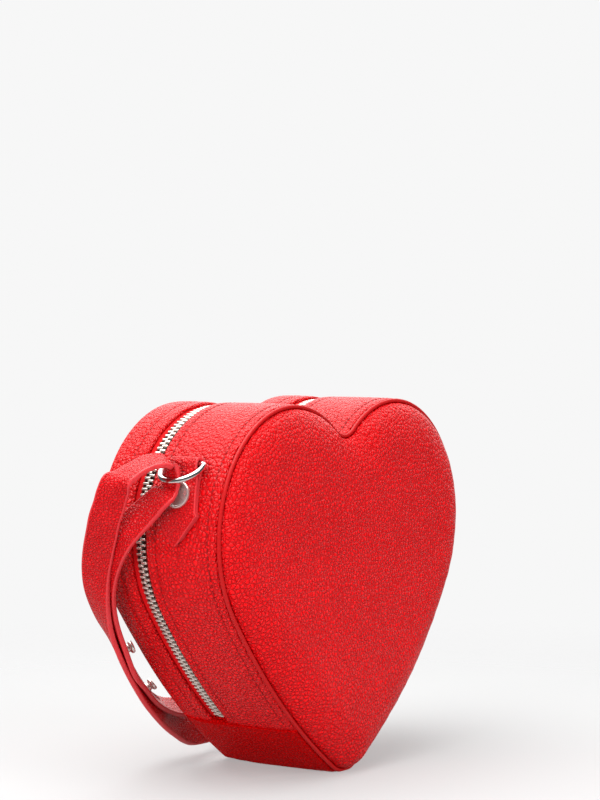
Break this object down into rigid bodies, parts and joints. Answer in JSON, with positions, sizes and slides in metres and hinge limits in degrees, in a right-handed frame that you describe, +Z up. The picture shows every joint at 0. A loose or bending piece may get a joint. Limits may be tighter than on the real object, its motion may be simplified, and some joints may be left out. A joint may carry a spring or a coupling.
{
  "type": "heart shaped zip purse",
  "caption": "Padded heart shaped purse on a deep gusset, with a zip round the lobes, a back that folds open, and a strap on two swivelling rings.",
  "frame": {"origin": "middle of the flat under the tip, where the purse stands", "axes": "-Y is the front face, +X is the right side in a front view, +Z is up"},
  "size_m": [0.2536, 0.1023, 0.1709],
  "materials": {
    "red_leather": "pebbled, satin",
    "lining_cloth": "plain woven",
    "zip_tape": "woven",
    "polished_metal": "polished",
    "foam": "soft foam"
  },
  "bodies": {
    "front_half": {"front_panel": "red_leather", "front_padding": "foam", "front_lining": "lining_cloth", "front_piping": "red_leather", "front_zip_band": "red_leather", "front_band_lining": "lining_cloth", "front_zip_tape": "zip_tape", "front_teeth": "polished_metal", "bottom_gusset": "red_leather", "bottom_lining": "lining_cloth", "back_panel_foot": "red_leather", "left_tab": "red_leather", "right_tab": "red_leather", "tab_studs": "polished_metal", "strap": "red_leather", "strap_studs": "polished_metal"},
    "back_half": {"back_panel": "red_leather", "back_padding": "foam", "back_lining": "lining_cloth", "slip_pocket": "lining_cloth", "back_zip_band": "red_leather", "back_band_lining": "lining_cloth", "back_zip_tape": "zip_tape", "back_teeth": "polished_metal"},
    "zip_slider": {"zip_slider": "polished_metal"},
    "zip_puller": {"zip_puller": "polished_metal"},
    "left_ring": {"left_ring": "polished_metal"},
    "right_ring": {"right_ring": "polished_metal"}
  },
  "joints": [
    {"name": "lid_open", "type": "hinge", "parent": "front_half", "child": "back_half", "pos_m": [0, 0.0366, 0.0264], "axis": [-1, 0, 0], "range_deg": [0, 24], "deforming": ["back_teeth", "front_teeth", "back_zip_tape"]},
    {"name": "zip_slide", "type": "hinge", "parent": "front_half", "child": "zip_slider", "pos_m": [-0.15901, 0.0112, 0.25616], "axis": [0, -1, 0], "range_deg": [0, 11], "deforming": ["front_teeth", "back_teeth"]},
    {"name": "puller_swing", "type": "hinge", "parent": "zip_slider", "child": "zip_puller", "pos_m": [0.04882, 0.0112, 0.03143], "axis": [0, -1, 0], "range_deg": [0, 110]},
    {"name": "left_ring_swing", "type": "hinge", "parent": "front_half", "child": "left_ring", "pos_m": [-0.09352, -0.0101, 0.14541], "axis": [0, 1, 0], "range_deg": [0, 7]},
    {"name": "right_ring_swing", "type": "hinge", "parent": "front_half", "child": "right_ring", "pos_m": [0.09352, -0.0101, 0.14541], "axis": [0, -1, 0], "range_deg": [0, 7]}
  ]
}
